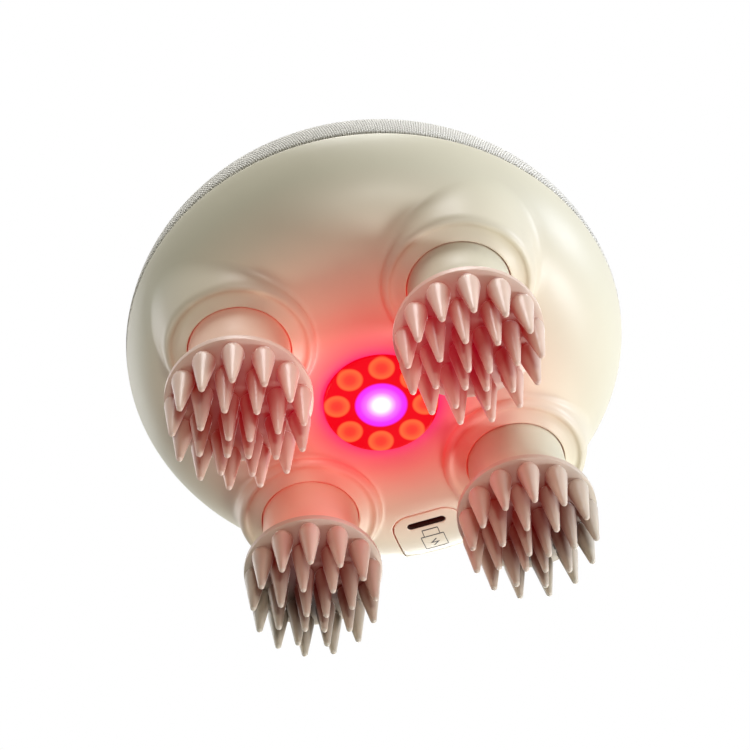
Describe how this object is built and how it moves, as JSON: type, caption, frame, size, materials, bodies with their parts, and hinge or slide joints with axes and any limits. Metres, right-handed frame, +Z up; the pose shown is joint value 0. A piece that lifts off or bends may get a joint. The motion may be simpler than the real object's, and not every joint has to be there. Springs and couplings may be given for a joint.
{
  "type": "electric scalp massager",
  "caption": "Round cordless scalp massager with a fabric-covered dome, spiked silicone heads that turn together, a red light window and a charging port.",
  "frame": {"origin": "on the surface that the lowest spike tips stand on, under the middle of the body", "axes": "+Z up through the dome and its button, -Y towards the charging port"},
  "size_m": [0.1084, 0.1084, 0.0873],
  "materials": {
    "shell_plastic": "satin",
    "pad_silicone": "soft satin",
    "knit_fabric": "knitted",
    "dark_rubber": "matte",
    "red_window": "translucent",
    "circuit_board": "solder mask",
    "emitter": "moulded",
    "frame_plastic": "moulded",
    "gear_plastic": "moulded",
    "steel": "turned",
    "bearing_brass": "turned",
    "cell_wrap": "shrink sleeve",
    "chip_plastic": "moulded",
    "plunger_plastic": "moulded"
  },
  "bodies": {
    "housing": {"lower_shell": "shell_plastic", "upper_shell": "shell_plastic", "fabric_cover": "knit_fabric", "joint_ring": "dark_rubber", "light_window": "red_window", "button_bezel": "shell_plastic", "charging_socket": "steel", "socket_tongue": "chip_plastic", "hinge_pin": "steel", "light_board": "circuit_board", "emitters": "emitter", "gear_tray": "frame_plastic", "top_plate": "frame_plastic", "sun_post": "steel", "thrust_washer": "steel", "idler_stud": "steel", "motor": "steel", "lower_bushes": "bearing_brass", "upper_bushes": "bearing_brass", "shaft_seals": "dark_rubber", "left_cell": "cell_wrap", "right_cell": "cell_wrap", "cell_links": "steel", "cell_cradle": "frame_plastic", "main_board": "circuit_board", "board_parts": "chip_plastic", "push_switch": "chip_plastic", "socket_board": "circuit_board", "shell_screws": "steel", "tray_screws": "steel", "plate_screws": "steel", "motor_screws": "steel", "cradle_screws": "steel", "board_screws": "steel", "light_board_screws": "steel"},
    "sun": {"sun_gear": "gear_plastic"},
    "idler": {"idler_gear": "gear_plastic"},
    "pinion": {"motor_shaft": "steel", "motor_pinion": "bearing_brass"},
    "port_lid": {"port_cover": "shell_plastic", "port_seal": "dark_rubber"},
    "button": {"power_button": "shell_plastic", "switch_plunger": "plunger_plastic"},
    "head_rear_right": {"drive_shaft_rear_right": "steel", "head_gear_rear_right": "gear_plastic", "neck_rear_right": "shell_plastic", "pad_rear_right": "pad_silicone"},
    "head_rear_left": {"drive_shaft_rear_left": "steel", "head_gear_rear_left": "gear_plastic", "neck_rear_left": "shell_plastic", "pad_rear_left": "pad_silicone"},
    "head_front_left": {"drive_shaft_front_left": "steel", "head_gear_front_left": "gear_plastic", "neck_front_left": "shell_plastic", "pad_front_left": "pad_silicone"},
    "head_front_right": {"drive_shaft_front_right": "steel", "head_gear_front_right": "gear_plastic", "neck_front_right": "shell_plastic", "pad_front_right": "pad_silicone"}
  },
  "joints": [
    {"name": "sun_spin", "type": "hinge", "parent": "housing", "child": "sun", "pos_m": [0, 0, 0.0456], "axis": [0, 0, 1], "continuous": true},
    {"name": "head_rear_right_spin", "type": "hinge", "parent": "housing", "child": "head_rear_right", "pos_m": [0.02319, 0.02319, 0.0456], "axis": [0, 0, 1], "continuous": true},
    {"name": "head_rear_left_spin", "type": "hinge", "parent": "housing", "child": "head_rear_left", "pos_m": [-0.02319, 0.02319, 0.0456], "axis": [0, 0, 1], "continuous": true},
    {"name": "head_front_left_spin", "type": "hinge", "parent": "housing", "child": "head_front_left", "pos_m": [-0.02319, -0.02319, 0.0456], "axis": [0, 0, 1], "continuous": true},
    {"name": "head_front_right_spin", "type": "hinge", "parent": "housing", "child": "head_front_right", "pos_m": [0.02319, -0.02319, 0.0456], "axis": [0, 0, 1], "continuous": true},
    {"name": "idler_spin", "type": "hinge", "parent": "housing", "child": "idler", "pos_m": [0.018, 0, 0.0516], "axis": [0, 0, 1], "continuous": true},
    {"name": "pinion_spin", "type": "hinge", "parent": "housing", "child": "pinion", "pos_m": [0, 0, 0.0528], "axis": [0, 0, 1], "continuous": true},
    {"name": "port_cover_hinge", "type": "hinge", "parent": "housing", "child": "port_lid", "pos_m": [0, -0.0462, 0.0422], "axis": [-1, 0, 0], "range_deg": [0, 70]},
    {"name": "button_press", "type": "slide", "parent": "housing", "child": "button", "axis": [0, 0, -1], "range_m": [0, 0.0005], "stiffness_N_per_m": 400}
  ],
  "couplings": [
    {"joint": "head_rear_right_spin", "follows": "sun_spin", "ratio": -2.1538},
    {"joint": "head_rear_left_spin", "follows": "sun_spin", "ratio": -2.1538},
    {"joint": "head_front_left_spin", "follows": "sun_spin", "ratio": -2.1538},
    {"joint": "head_front_right_spin", "follows": "sun_spin", "ratio": -2.1538},
    {"joint": "idler_spin", "follows": "sun_spin", "ratio": -2.75},
    {"joint": "pinion_spin", "follows": "sun_spin", "ratio": 11}
  ]
}
